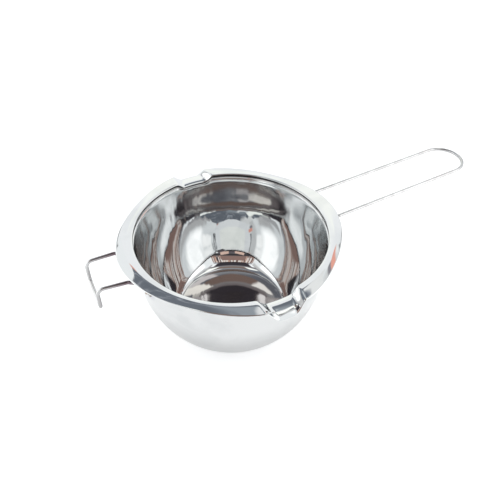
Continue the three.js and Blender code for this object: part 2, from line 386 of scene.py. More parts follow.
def polished_sheet_finish():
    material, t, shader = steel("polished_sheet")
    place = t.node("ShaderNodeTexCoord", output="Object")
    x, y, z = t.split(place)
    radius = t.math("SQRT", t.add(t.mul(x, x), t.mul(y, y)))
    rise = t.node("ShaderNodeAttribute", attribute_name="unpressed", output="Fac")
    turn = t.math("ARCTAN2", y, x)
    ring = t.node("ShaderNodeCombineXYZ", radius, t.mul(t.math("COSINE", turn), LINE_DRIFT), z)
    lines = fine_lines.use(t, "height", place=ring, spacing=SHEET_LINES)
    clouds = smudges.use(t, "mask", place=place, size=26 * MM, cover=0.45)
    specks = smudges.use(t, "mask", place=place, size=5 * MM, cover=0.30)

    # Painted shade: the groove's band is near black, and a warm shade runs down the collar.
    inside = t.ramp(radius, GROOVE_OUTSIDE, GROOVE_OUTSIDE + GROOVE_SIDE_BORDER, 1.0, 0.0)
    under = t.ramp(rise, GROOVE_HIGH, GROOVE_HIGH + GROOVE_HIGH_BORDER, 1.0, 0.0, smooth=True)
    deep = t.ramp(rise, GROOVE_LOW - GROOVE_LOW_BORDER, GROOVE_LOW, smooth=True)
    groove = t.product(deep, under, inside)
    collar = t.ramp(rise, COLLAR_FOOT - COLLAR_BORDER, COLLAR_FOOT, smooth=True)
    collar_shade = t.product(collar, under, inside)
    belt = t.mul(t.ramp(z, BELT_FOOT, BELT_FULL, smooth=True),
                 t.ramp(rise, COLLAR_FOOT - COLLAR_BORDER, COLLAR_FOOT, 1.0, 0.0))
    # Painted reflection: the flat of the base takes a warm tint.
    base = t.mul(t.ramp(radius, BASE_EDGE - BASE_FADE, BASE_EDGE + BASE_FADE, 1.0, 0.0,
                        smooth=True), t.ramp(z, *BASE_SKIN))
    facing = t.vector("DOT_PRODUCT", t.node("ShaderNodeNewGeometry", output="Normal"), place,
                      output="Value")
    blued = t.mul(weld_mask(t, "blue", place, SHEET_BLUE_REACH),
                  t.ramp(facing, 0.0, OUTER_FADE))

    colour = mix(t, SHEET_COLOUR, SHEET_CLOUD, t.mul(clouds, CLOUD_SHARE))
    colour = mix(t, colour, BASE_REFLECTION_TINT, base)
    colour = mix(t, colour, WELD_BLUE, t.mul(blued, BLUE_SHARE))
    colour = mix(t, colour, COLLAR_SHADE_COLOUR, t.mul(collar_shade, COLLAR_SHADE_SHARE))
    colour = mix(t, colour, GROOVE_SHADE_COLOUR, groove)
    gloss = t.total(t.mul(belt, BELT_DULL), t.mul(clouds, CLOUD_DULL),
                    t.mul(specks, SPECK_DULL), SHEET_GLOSS, t.mul(groove, GROOVE_DULL))
    height = t.mul(lines, t.add(PLAIN_LINES, t.mul(belt, BELT_LINES)))
    bump = t.node("ShaderNodeBump", named={
        "Strength": 0.14, "Distance": 0.05 * MM, "Height": height})
    connect(t, shader, Base_Color=colour, Roughness=gloss, Normal=bump)
    return material


polished_sheet = polished_sheet_finish()
print(polished_sheet.name, "nodes:", len(polished_sheet.node_tree.nodes))

# %% [markdown]
# ## Drawn wire
#
# Wire is pulled through a die, so its lines run along it. Both wires carry two numbers on
# their surface, the way along and the way round, and the lines follow those through every
# bend. Where a leg was welded the steel is straw brown. On the hook a dark violet is painted
# further up, beyond the brown: a painted reflection of the dark roof in its legs.

# %% Drawn wire
WIRE_RADIUS = 1.1 * MM
WIRE_LINES = 0.35 * MM
LINE_STRETCH = 0.04
WIRE_COLOUR = (0.60, 0.605, 0.61)
WIRE_DULL = (0.50, 0.50, 0.505)
HEAT_STRAW = (0.42, 0.33, 0.27)
# The dark violet on the hook is a painted reflection of the dark roof.
VIOLET_REFLECTION = (0.15, 0.10, 0.12)
STRAW_REACH = 13 * MM
VIOLET_REACH = 37 * MM
STRAW_SHARE, VIOLET_SHARE = 0.8, 0.9
WIRE_GLOSS, WIRE_CLOUD_DULL, STRAW_DULL = 0.05, 0.05, 0.15


def drawn_wire_finish():
    material, t, shader = steel("drawn_wire")
    place = t.node("ShaderNodeTexCoord", output="Object")
    along = t.node("ShaderNodeAttribute", attribute_name="along", output="Fac")
    round_it = t.node("ShaderNodeAttribute", attribute_name="round", output="Fac")
    turn = t.mul(round_it, 2 * math.pi)
    strip = t.node("ShaderNodeCombineXYZ", t.mul(t.math("COSINE", turn), WIRE_RADIUS),
                   t.mul(t.math("SINE", turn), WIRE_RADIUS), t.mul(along, LINE_STRETCH))
    lines = fine_lines.use(t, "height", place=strip, spacing=WIRE_LINES)
    clouds = smudges.use(t, "mask", place=place, size=9 * MM, cover=0.5)
    colour = mix(t, WIRE_COLOUR, WIRE_DULL, clouds)
    straw = weld_mask(t, "straw", place, STRAW_REACH)
    # Painted reflection: a dark violet ring on the hook, in the shape of a heat tint.
    violet = weld_mask(t, "blue", place, VIOLET_REACH, HOOK_WELDS)
    colour = mix(t, colour, VIOLET_REFLECTION, t.mul(violet, VIOLET_SHARE))
    colour = mix(t, colour, HEAT_STRAW, t.mul(straw, STRAW_SHARE))
    gloss = t.total(WIRE_GLOSS, t.mul(clouds, WIRE_CLOUD_DULL), t.mul(straw, STRAW_DULL))
    bump = t.node("ShaderNodeBump", named={
        "Strength": 0.15, "Distance": 0.04 * MM, "Height": lines})
    connect(t, shader, Base_Color=colour, Roughness=gloss, Normal=bump)
    return material


drawn_wire = drawn_wire_finish()
print(drawn_wire.name, "nodes:", len(drawn_wire.node_tree.nodes))

# %% [markdown]
# ## Weld bead
#
# A bead is cast metal that froze in ripples. It isn't polished afterwards: its skin is
# dull, a little grainy, and tinted by its own heat.

# %% Weld bead
BEAD_COLOUR = (0.50, 0.48, 0.46)
BEAD_TINT = (0.20, 0.16, 0.15)
BEAD_TINT_SHARE = 0.7
BEAD_GLOSS, BEAD_GRAIN_DULL = 0.34, 0.18


def weld_bead_finish():
    material, t, shader = steel("weld_bead")
    place = t.node("ShaderNodeTexCoord", output="Object")
    grain = smudges.use(t, "mask", place=place, size=0.7 * MM, cover=0.5)
    tint = smudges.use(t, "mask", place=place, size=3 * MM, cover=0.5)
    lines = fine_lines.use(t, "height", place=place, spacing=0.5 * MM)
    colour = mix(t, BEAD_COLOUR, BEAD_TINT, t.mul(tint, BEAD_TINT_SHARE))
    gloss = t.add(BEAD_GLOSS, t.mul(grain, BEAD_GRAIN_DULL))
    bump = t.node("ShaderNodeBump", named={
        "Strength": 0.6, "Distance": 0.12 * MM, "Height": lines})
    connect(t, shader, Base_Color=colour, Roughness=gloss, Normal=bump)
    return material


weld_bead = weld_bead_finish()
print(weld_bead.name, "nodes:", len(weld_bead.node_tree.nodes))

# %% [markdown]
# ## The bowl's section
#
# The bowl is pressed from one sheet. Its section starts at the middle of the base, turns
# up at the heel, rises as a quarter of an ellipse, runs straight up to a small step, and
# bends over into the rim. The line is drawn once for the inner face. The outer face is
# the same line moved out by the sheet's thickness, and a half circle closes the rim's edge.

# %% Bowl section
SHEET = 0.7 * MM
POT_HEIGHT = bowl_high.z
WALL_RADIUS = 60.5 * MM
STRAIGHT_WALL = 16.0 * MM
HEEL_RADIUS = 44.0 * MM
HEEL_HEIGHT = 6.0 * MM
BASE_RADIUS = 36.5 * MM
COLLAR_STEP = 0.8 * MM
COLLAR_FLARE = 0.2 * MM
RIM_BEND = 1.0 * MM
CROWN_WIDTH = 1.5 * MM
CROWN_RISE = 0.15 * MM
RIM_TUCK = 0.9 * MM
RIM_RADIUS = 70.0 * MM
RIM_DROP = 1.0 * MM
CROWN_ROUND = 0.2
COLLAR_RADIUS = WALL_RADIUS + COLLAR_STEP
BEND_RADIUS = COLLAR_RADIUS + COLLAR_FLARE + RIM_BEND
BEND_HEIGHT = POT_HEIGHT - CROWN_RISE
CROWN_RADIUS = BEND_RADIUS + CROWN_WIDTH
STEP_HEIGHT = POT_HEIGHT - COLLAR_HEIGHT
BASE_STEPS, HEEL_STEPS, CURVE_STEPS, STRAIGHT_STEPS = 8, 16, 40, 8
COLLAR_STEPS, FLARE_STEPS, BEND_STEPS, CROWN_STEPS, RIM_STEPS, LIP_STEPS = 8, 9, 12, 6, 10, 6


def smooth_share(share):
    return share * share * (3 - 2 * share)


def inner_line():
    """(radius, height) points of the sheet's inner face, from the axis to the rim."""
    top = STEP_HEIGHT - COLLAR_STEP - STRAIGHT_WALL
    heel_angle = math.acos(HEEL_RADIUS / WALL_RADIUS)
    depth = (top - HEEL_HEIGHT) / math.sin(heel_angle)
    slope = (WALL_RADIUS * math.sin(heel_angle)) / (depth * math.cos(heel_angle))
    corner = HEEL_RADIUS - slope * (HEEL_HEIGHT - SHEET)
    points = [(BASE_RADIUS * i / BASE_STEPS, SHEET) for i in range(BASE_STEPS)]
    for i in range(HEEL_STEPS):
        t = i / HEEL_STEPS
        points.append((
            (1 - t) ** 2 * BASE_RADIUS + 2 * t * (1 - t) * corner + t * t * HEEL_RADIUS,
            (1 - t) ** 2 * SHEET + 2 * t * (1 - t) * SHEET + t * t * HEEL_HEIGHT,
        ))
    for i in range(CURVE_STEPS):
        angle = heel_angle * (1 - i / CURVE_STEPS)
        points.append((WALL_RADIUS * math.cos(angle), top - depth * math.sin(angle)))
    for i in range(STRAIGHT_STEPS):
        points.append((WALL_RADIUS, top + (STEP_HEIGHT - COLLAR_STEP - top) * i / STRAIGHT_STEPS))
    for i in range(COLLAR_STEPS + 1):
        share = i / COLLAR_STEPS
        points.append((WALL_RADIUS + COLLAR_STEP * smooth_share(share),
                       STEP_HEIGHT - COLLAR_STEP * (1 - share)))
    rise = BEND_HEIGHT - RIM_BEND - STEP_HEIGHT
    for i in range(1, FLARE_STEPS):
        points.append((COLLAR_RADIUS + COLLAR_FLARE * i / FLARE_STEPS,
                       STEP_HEIGHT + rise * i / FLARE_STEPS))
    for i in range(BEND_STEPS + 1):
        turn = math.pi / 2 * i / BEND_STEPS
        points.append((BEND_RADIUS - RIM_BEND * math.cos(turn),
                       BEND_HEIGHT - RIM_BEND * (1 - math.sin(turn))))
    for i in range(1, CROWN_STEPS + 1):
        share = i / CROWN_STEPS
        points.append((BEND_RADIUS + CROWN_WIDTH * share,
                       BEND_HEIGHT + CROWN_RISE * share * (2 - share)))
    width = RIM_RADIUS - SHEET / 2 - CROWN_RADIUS
    for i in range(1, RIM_STEPS + 1):
        share = i / RIM_STEPS
        fall = share * share * (1 + CROWN_ROUND) / (share + CROWN_ROUND)
        points.append((CROWN_RADIUS + width * share, POT_HEIGHT - RIM_DROP * fall))
    return points


def offset_line(line, distance):
    """The line moved square to itself by a distance."""
    moved = []
    for i, (radius, height) in enumerate(line):
        before = line[max(i - 1, 0)]
        after = line[min(i + 1, len(line) - 1)]
        run, rise = after[0] - before[0], after[1] - before[1]
        length = math.hypot(run, rise)
        moved.append((radius + rise / length * distance, height - run / length * distance))
    moved[0] = (0.0, line[0][1] - distance)
    return moved


def tuck(radius, height):
    """How far a point of the finished rim leans in over the collar."""
    lean = min(max((height - STEP_HEIGHT - COLLAR_STEP) / (2 * RIM_BEND), 0), 1)
    leave = min(max((radius - BEND_RADIUS) / CROWN_WIDTH, 0), 1)
    return RIM_TUCK * smooth_share(lean) * (1 - leave)


inner = [(radius - tuck(radius, height), height) for radius, height in inner_line()]
outer = offset_line(inner, SHEET)
middle = ((inner[-1][0] + outer[-1][0]) / 2, (inner[-1][1] + outer[-1][1]) / 2)
lip_start = math.atan2(outer[-1][1] - middle[1], outer[-1][0] - middle[0])
lip_turns = [lip_start + math.pi * i / LIP_STEPS for i in range(1, LIP_STEPS)]
lip = [(middle[0] + SHEET / 2 * math.cos(turn), middle[1] + SHEET / 2 * math.sin(turn))
       for turn in lip_turns]
section = outer + lip + inner[::-1]
lip_lowered = [1 - i / LIP_STEPS for i in range(1, LIP_STEPS)]
lowered = [1.0] * len(outer) + lip_lowered + [0.0] * len(inner)
section_mesh = line_mesh("section", [(r, 0.0, z) for r, z in section], lowered=lowered)
print("section points:", len(section))

# %% [markdown]
# ## Pressing the bowl
#
# Turning the section round the axis gives a plain bowl. This rim isn't round: its edge
# swells out in four lobes, and at two of them the press pushes a channel down for pouring.
# A rule in numbers describes both, so Geometry Nodes fit well: a grid is bent round the
# axis, one row for each point of the section, and each point then moves to its pressed
# place. The widths and depths stay as inputs that can be changed later.
#
# Two things make the steel look pressed and not turned. The wall has waves of a few tenths
# of a millimetre, which bend what it reflects into flowing streaks, as a thin pressing
# does. The lip of each channel rolls down at its outer end, so the wax breaks off cleanly.

# %% Bowl
RIM_BULGE = 1.9 * MM
SPOUT_DEPTH = 3.7 * MM
SPOUT_ROLL = 5.5 * MM
SPOUT_FALL = 2.4 * MM
SPOUT_CROWN = 0.4 * MM
WAVE_DRIFT = 2.0
WAVE_FULL, WAVE_FADE = 0.75, 0.9     # shares of the way up to the top of the waves
CROWN_END, LIP_START = 0.22, 0.6     # shares of the rim's width
LIP_CURVE = 2.0
SPOUT_COUNT, LOBE_COUNT = 2.0, 4.0
MERGE_DISTANCE = 0.01 * MM
bowl_sizes = {
    "Segments": 288,
    "Wall radius": WALL_RADIUS,
    "Collar radius": COLLAR_RADIUS,
    "Rim radius": RIM_RADIUS,
    "Crown height": POT_HEIGHT,
    "Sheet": SHEET,
    "Rim bulge": RIM_BULGE,
    "Spout crowding": 0.3,
    "Spout depth": SPOUT_DEPTH,
    "Spout roll": SPOUT_ROLL,
    "Spout fall": SPOUT_FALL,
    "Spout crown": SPOUT_CROWN,
    "Rim bend": RIM_BEND,
    "Wave height": 0.28 * MM,
    "Wave count": 12.0,
    "Wave top": STEP_HEIGHT - COLLAR_STEP,
    "Wave foot": HEEL_HEIGHT * 3,
    "Spout reach": 1.5 * MM,
    "Floor inner": 15.0 * MM,
    "Floor lip": 8.0 * MM,
    "Mouth inner": 28.0 * MM,
    "Mouth lip": 24.5 * MM,
}


def bowl_tree():
    t = GeometryTree("press bowl", bowl_sizes)
    profile = t.entry.outputs["Geometry"]
    rows = t.node("GeometryNodeAttributeDomainSize", profile)
    columns = t.add(t.size("Segments"), 1.0)
    grid = t.node("GeometryNodeMeshGrid", 1.0, 1.0, columns, rows)
    index = t.node("GeometryNodeInputIndex")
    column = t.math("FLOOR", t.math("DIVIDE", t.add(index, 0.5), rows))
    row = t.sub(index, t.mul(column, rows))
    place = t.node("GeometryNodeSampleIndex", profile,
                   named={"Value": t.node("GeometryNodeInputPosition"), "Index": row},
                   data_type="FLOAT_VECTOR")
    lowered = t.node("GeometryNodeInputNamedAttribute", "lowered", data_type="FLOAT")
    lowered = t.node("GeometryNodeSampleIndex", profile, data_type="FLOAT",
                     named={"Value": lowered, "Index": row})
    radius, _, height = t.split(place)

    turned = t.math("DIVIDE", t.mul(column, 2 * math.pi), t.size("Segments"))
    gather = t.mul(t.size("Spout crowding"), t.math("SINE", t.mul(turned, SPOUT_COUNT)))
    angle = t.add(turned, gather)
    flutes = t.node("ShaderNodeTexNoise",
                    t.node("ShaderNodeCombineXYZ", t.math("COSINE", angle),
                           t.math("SINE", angle), t.mul(height, WAVE_DRIFT)),
                    named={"Scale": t.size("Wave count"), "Detail": 2.0, "Roughness": 0.5})
    rising = t.ramp(height, t.size("Wave foot"), t.mul(t.size("Wave top"), WAVE_FULL),
                    smooth=True)
    ending = t.ramp(height, t.mul(t.size("Wave top"), WAVE_FADE), t.size("Wave top"), 1.0, 0.0,
                    smooth=True)
    wave = t.mul(t.mul(t.sub(flutes, 0.5), t.size("Wave height")), t.mul(rising, ending))
    waved = t.add(radius, wave)
    outward = t.ramp(radius, t.size("Collar radius"), t.size("Rim radius"))
    lobe = t.mul(t.size("Rim bulge"), t.math("COSINE", t.mul(angle, LOBE_COUNT)))
    lobed = t.add(waved, t.mul(outward, lobe))

    lip = t.total(t.size("Rim radius"), t.size("Rim bulge"), t.size("Spout reach"))
    along = t.ramp(lobed, t.size("Wall radius"), lip)
    floor = t.ramp(along, 0.0, 1.0, t.size("Floor inner"), t.size("Floor lip"))
    mouth = t.ramp(along, 0.0, 1.0, t.size("Mouth inner"), t.size("Mouth lip"))
    across = t.math("ABSOLUTE", t.mul(lobed, t.math("COSINE", angle)))
    share = t.ramp(across, t.mul(floor, 0.5), t.mul(mouth, 0.5), 1.0, 0.0, smooth=True)

    crown = t.sub(t.size("Crown height"), t.mul(lowered, t.size("Sheet")))
    foot = t.sub(t.sub(crown, t.size("Spout depth")), t.size("Spout roll"))
    bend = t.sub(crown, t.size("Rim bend"))
    inner_slope = t.ramp(outward, 0.0, CROWN_END, 1.0, 0.0)
    crowned = t.add(t.size("Spout depth"),
                    t.product(inner_slope, inner_slope, t.size("Spout crown")))
    sunk = t.mul(t.ramp(height, foot, bend, smooth=True), crowned)
    outer_slope = t.math("POWER", t.ramp(outward, LIP_START, 1.0), LIP_CURVE)
    fall = t.mul(outer_slope, t.size("Spout fall"))
    pressed = t.sub(height, t.mul(t.add(sunk, fall), share))
    reached = t.add(lobed, t.product(outward, share, t.size("Spout reach")))

    point = t.node("ShaderNodeCombineXYZ",
                   t.mul(reached, t.math("COSINE", angle)),
                   t.mul(reached, t.math("SINE", angle)),
                   pressed)
    bent = t.node("GeometryNodeSetPosition", grid, None, point)
    bent = t.node("GeometryNodeStoreNamedAttribute", bent, data_type="FLOAT", domain="POINT",
                  named={"Name": "unpressed", "Value": height})
    closed = t.node("GeometryNodeMergeByDistance", bent, named={"Distance": MERGE_DISTANCE})
    t.finish(closed)
    return t


bowl = make_piece("pressed_bowl", section_mesh, bowl_tree(), polished_sheet)

# %% [markdown]
# ## Wires
#
# Handle and hook are each one length of drawn wire, bent over pins of a set radius. Only
# the corners and the bend radii are given here. Fillet Curve rounds the corners, and Curve
# to Mesh draws a round section along the line, as the wire itself is drawn.

# %% Wires
GAP = 0.3 * MM
OUTER_WALL = WALL_RADIUS + SHEET
RIM_LOBE = RIM_RADIUS + RIM_BULGE
FOOT_TOP = POT_HEIGHT - 9.5 * MM
FOOT_END = FOOT_TOP - 7.0 * MM
FOOT_BEND = 3.0 * MM
LEG_HEIGHT = POT_HEIGHT - RIM_DROP - SHEET - GAP - WIRE_RADIUS
wire_sizes = {"Wire radius": WIRE_RADIUS, "Sides": 24, "Bend steps": 16}


def wire_tree():
    t = GeometryTree("bend wire", wire_sizes)
    line = t.node("GeometryNodeMeshToCurve", t.entry.outputs["Geometry"])
    bend = t.node("GeometryNodeInputNamedAttribute", "bend", data_type="FLOAT")
    bent = t.node("GeometryNodeFilletCurve", line,
                  named={"Radius": bend, "Count": t.size("Bend steps")}, mode="POLY")
    length = t.node("GeometryNodeSplineParameter", output="Length")
    bent = t.node("GeometryNodeStoreNamedAttribute", bent,
                  named={"Name": "along", "Value": length}, data_type="FLOAT", domain="POINT")
    ring = t.node("GeometryNodeCurvePrimitiveCircle",
                  named={"Resolution": t.size("Sides"), "Radius": t.size("Wire radius")})
    turned = t.math("DIVIDE", t.node("GeometryNodeInputIndex"), t.size("Sides"))
    ring = t.node("GeometryNodeStoreNamedAttribute", ring,
                  named={"Name": "round", "Value": turned}, data_type="FLOAT", domain="POINT")
    wire = t.node("GeometryNodeCurveToMesh", bent,
                  named={"Profile Curve": ring, "Fill Caps": True})
    t.finish(wire)
    return t


def foot_reach(across):
    return math.sqrt((OUTER_WALL + GAP + WIRE_RADIUS) ** 2 - across ** 2)


def leg_corners(side, across):
    """The cut end of a leg, its bend on the wall and its bend under the rim."""
    reach = foot_reach(across)
    return [((side * reach, across, FOOT_END), 0.0),
            ((side * reach, across, FOOT_TOP), FOOT_BEND),
            ((side * (RIM_LOBE - WIRE_RADIUS), across, LEG_HEIGHT), FOOT_BEND)]


def wire_piece(name, corners):
    points = [place for place, _ in corners]
    mesh = line_mesh(name, points, bend=[bend for _, bend in corners])
    return make_piece(name, mesh, wires, drawn_wire)


wires = wire_tree()
handle_half = handle_high.y - WIRE_RADIUS
loop = handle_high.x - WIRE_RADIUS
loop_height = handle_high.z - WIRE_RADIUS
loop_bend = handle_half - WIRE_RADIUS / 2
handle = wire_piece("wire_handle", [
    *leg_corners(1, handle_half),
    ((loop, handle_half, loop_height), loop_bend),
    ((loop, -handle_half, loop_height), loop_bend),
    *leg_corners(1, -handle_half)[::-1],
])

HOOK_HALF = 12.5 * MM
HOOK_SHOULDER = 4.0 * MM
HOOK_CORNER = 2.6 * MM
HOOK_DROP = 14.8 * MM
HOOK_RISE = 0.034
hook_foot = hook_high.y - WIRE_RADIUS
hook_reach = hook_low.x + WIRE_RADIUS
hook_top = LEG_HEIGHT + HOOK_RISE * (-hook_reach - RIM_LOBE + WIRE_RADIUS)
hook = wire_piece("wire_hook", [
    *leg_corners(-1, hook_foot),
    ((hook_reach, HOOK_HALF, hook_top), HOOK_SHOULDER),
    ((hook_reach, HOOK_HALF, hook_top - HOOK_DROP), HOOK_CORNER),
    ((hook_reach, -HOOK_HALF, hook_top - HOOK_DROP), HOOK_CORNER),
    ((hook_reach, -HOOK_HALF, hook_top), HOOK_SHOULDER),
    *leg_corners(-1, -hook_foot)[::-1],
])

# %% [markdown]
# ## Weld beads
#
# Each cut end of the wires is held on the wall by one bead of weld. A bead could be
# sculpted, but four alike ones are a rule: a stretched ball with ripples across it, laid on
# the wall and turned to face outwards. What would lie inside the wall or the wire is cut
# away with the same small clearance as in the engineering model.

# %% Weld beads
BEAD_LENGTH = 9.0 * MM
BEAD_WIDTH = 6.4 * MM
BEAD_RISE = 1.6 * MM
BEAD_RAISE = 1.2 * MM
RIPPLE_BOW = 1.6
ROD_LENGTH = 40 * MM
bead_sizes = {
    "Reach": 0.0, "Across": 0.0, "Wall radius": OUTER_WALL, "Wire radius": WIRE_RADIUS,
    "Clearance": GAP, "Length": BEAD_LENGTH, "Width": BEAD_WIDTH, "Rise": BEAD_RISE,
    "Middle": FOOT_END + BEAD_RAISE, "Ripples": 7.0, "Ripple depth": 0.06,
}


def upright_rod(t, radius, x, y):
    """An upright cutter, round the bowl's axis or round one leg of a wire."""
    rod = t.node("GeometryNodeMeshCylinder", named={
        "Vertices": 96, "Radius": radius, "Depth": ROD_LENGTH})
    return t.node("GeometryNodeSetPosition", rod,
                  named={"Offset": t.node("ShaderNodeCombineXYZ", x, y, t.size("Middle"))})


def bead_tree():
    t = GeometryTree("lay weld bead", bead_sizes)
    ball = t.node("GeometryNodeMeshUVSphere", named={"Segments": 48, "Rings": 40, "Radius": 1.0})
    x, y, z = t.split(t.node("GeometryNodeInputPosition"))
    bowed = t.add(t.mul(z, t.mul(t.size("Ripples"), math.pi)), t.product(y, y, RIPPLE_BOW))
    swell = t.add(1.0, t.mul(t.math("SINE", bowed), t.size("Ripple depth")))
    shaped = t.node("ShaderNodeCombineXYZ",
                    t.mul(t.mul(x, swell), t.size("Rise")),
                    t.mul(t.mul(y, swell), t.mul(t.size("Width"), 0.5)),
                    t.mul(z, t.mul(t.size("Length"), 0.5)))
    facing = t.math("ARCTAN2", t.size("Across"), t.size("Reach"))
    turned = t.node("ShaderNodeVectorRotate", shaped, rotation_type="Z_AXIS",
                    named={"Angle": facing})
    seat = t.node("ShaderNodeCombineXYZ",
                  t.mul(t.math("COSINE", facing), t.size("Wall radius")),
                  t.mul(t.math("SINE", facing), t.size("Wall radius")), t.size("Middle"))
    bead = t.node("GeometryNodeSetPosition", ball, None, t.vector("ADD", turned, seat))
    wall = upright_rod(t, t.add(t.size("Wall radius"), t.size("Clearance")), 0.0, 0.0)
    foot = upright_rod(t, t.add(t.size("Wire radius"), t.size("Clearance")),
                       t.size("Reach"), t.size("Across"))
    for cutter in (wall, foot):
        cut = t.tree.nodes.new("GeometryNodeMeshBoolean")
        cut.operation = "DIFFERENCE"
        cut.solver = "EXACT"
        t.tree.links.new(bead, cut.inputs["Mesh 1"])
        t.tree.links.new(cutter, cut.inputs["Mesh 2"])
        bead = cut.outputs["Mesh"]
    t.finish(bead)
    return t


beads = bead_tree()
weld_beads = []
for wire, side, across in (("handle", 1, handle_half), ("hook", -1, hook_foot)):
    for hand in (1, -1):
        reach = side * foot_reach(across)
        mesh = line_mesh("bead", [(0, 0, 0), (0, 0, GAP)])
        label = "left" if hand * side > 0 else "right"
        bead = make_piece(f"{wire}_bead_{label}", mesh, beads, weld_bead,
                          reach=reach, across=hand * across)
        weld_beads.append((bead, f"{wire}_weld_{label}"))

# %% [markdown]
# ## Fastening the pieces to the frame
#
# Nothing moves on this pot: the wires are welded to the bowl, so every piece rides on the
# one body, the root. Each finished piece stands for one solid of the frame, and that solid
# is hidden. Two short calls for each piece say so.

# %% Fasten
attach(bowl, "root")
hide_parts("bowl")
for piece, node in ((handle, "handle"), (hook, "hook")):
    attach(piece, "root")
    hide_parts(node)
for piece, node in weld_beads:
    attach(piece, "root")
    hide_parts(node)

# %% [markdown]
# ## The light tent
#
# Polished steel has almost no colour of its own. What it shows is its surroundings, so
# they matter more here than any setting of the material. Here the surroundings are a light
# tent: a box of glowing white cloth, with slate, brown and coral patches for the room that
# would show through its openings. A world could paint the same tent, but a bowl sees a near
# wall under a new angle from each side, so the tent is a real box here. The camera doesn't
# see it, and only its reflection shows.
#
# Each wall is one cloth, and each patch on it runs between two limits across and two
# limits up, in shares of the tent's height. A patch may slant, and its borders are soft.
# All were placed for the reflections that they give. The flap over the front hangs
# in narrow folds, drawn with one stretched noise. The roof's slate cloth has a soft sheen,
# drawn with another.

# %% Light tent
TENT_HEIGHT = 0.50
TENT_SIDE = 0.60
TENT_BACK = 0.70
TENT_FRONT = 0.75
TENT_ROOF = 1.08
MIRROR_BOUNCES = 12
X, Y, Z = range(3)

# Each patch: across, up, slant of the upward limits, softness of the borders, colour.
RIGHT_PANEL = ((0.29, 0.51), (-0.40, 0.20), 0.3, 0.06, (1.45, 1.48, 1.40))
ROOF = ((0.33, 0.33, 0.34), X, Y, (
    ((-0.28, 0.28), (-0.26, 0.22), 0.0, 0.12, (0.275, 0.207, 0.182)),
    ((-0.52, -0.25), (-0.38, 0.12), -0.3, 0.06, (1.38, 1.42, 1.38)),
    RIGHT_PANEL,
    ((-0.70, -0.53), (-0.55, 0.40), 0.0, 0.05, (0.42, 0.44, 0.46)),
    ((0.54, 0.70), (-0.55, 0.40), 0.0, 0.05, (0.42, 0.44, 0.46)),
    ((0.49, 0.70), (-0.60, -0.08), 0.0, 0.05, (0.78, 0.80, 0.76)),
))
OVER_SLATE = (
    RIGHT_PANEL,
    ((-0.80, 0.80), (-0.90, -0.34), 0.0, 0.10, (0.26, 0.24, 0.25)),
    ((-0.80, 0.80), (-0.90, -0.55), 0.0, 0.12, (0.12, 0.105, 0.11)),
    ((-0.46, 0.46), (-0.90, -0.44), 0.0, 0.08, (0.055, 0.05, 0.06)),
    ((-0.80, -0.50), (-0.90, -0.46), 0.0, 0.05, (1.30, 1.33, 1.34)),
    ((0.50, 0.80), (-0.90, -0.46), 0.0, 0.05, (1.30, 1.33, 1.34)),
    ((-0.13, 0.32), (0.15, 0.42), 0.0, 0.14, (0.38, 0.42, 0.46)),
    ((0.10, 0.34), (0.10, 0.24), 0.0, 0.04, (0.98, 0.99, 1.00)),
    ((0.10, 0.20), (0.22, 0.38), 0.0, 0.04, (0.98, 0.99, 1.00)),
    ((0.33, 0.80), (0.47, 0.90), 0.0, 0.06, (1.05, 1.06, 1.05)),
    ((0.46, 0.80), (0.30, 0.90), 0.0, 0.03, (1.05, 1.06, 1.05)),
)
BACK_WALL = ((1.12, 1.14, 1.155), X, Z, (
    ((-0.40, 0.40), (0.30, 0.74), 0.0, 0.10, (1.24, 1.26, 1.21)),
    ((-0.70, -0.48), (1.02, 1.20), 0.0, 0.02, (0.90, 0.50, 0.42)),
))
LEFT_WALL = ((1.10, 1.13, 1.14), Y, Z, (
    ((-0.70, 0.18), (0.80, 1.20), 0.0, 0.14, (0.72, 0.72, 0.72)),
    ((-0.36, 0.14), (-0.10, 0.74), 0.0, 0.20, (1.90, 1.90, 1.88)),
    ((0.16, 0.50), (0.38, 0.62), 0.0, 0.08, (1.60, 1.60, 1.58)),
    ((-0.52, 0.30), (1.00, 1.20), 0.0, 0.05, (0.50, 0.49, 0.50)),
    ((0.59, 0.655), (0.27, 0.72), 0.0, 0.02, (0.06, 0.06, 0.07)),
))
RIGHT_WALL = ((1.10, 1.13, 1.14), Y, Z, (
    ((-0.30, 0.18), (0.80, 1.20), 0.0, 0.14, (0.72, 0.72, 0.72)),
    ((-0.36, 0.16), (-0.10, 0.74), 0.0, 0.20, (1.90, 1.90, 1.88)),
    ((0.16, 0.50), (0.38, 0.62), 0.0, 0.08, (1.60, 1.60, 1.58)),
    ((-0.60, -0.12), (0.93, 1.20), 0.0, 0.05, (0.60, 0.60, 0.61)),
    ((0.36, 0.58), (0.20, 1.20), 0.0, 0.10, (0.86, 0.87, 0.87)),
    ((0.47, 0.61), (0.86, 0.95), 0.0, 0.04, (0.34, 0.33, 0.36)),
    ((0.50, 0.82), (0.77, 0.87), 0.0, 0.03, (1.05, 0.50, 0.40)),
    ((0.59, 0.655), (0.27, 0.72), 0.0, 0.02, (0.06, 0.06, 0.07)),
))
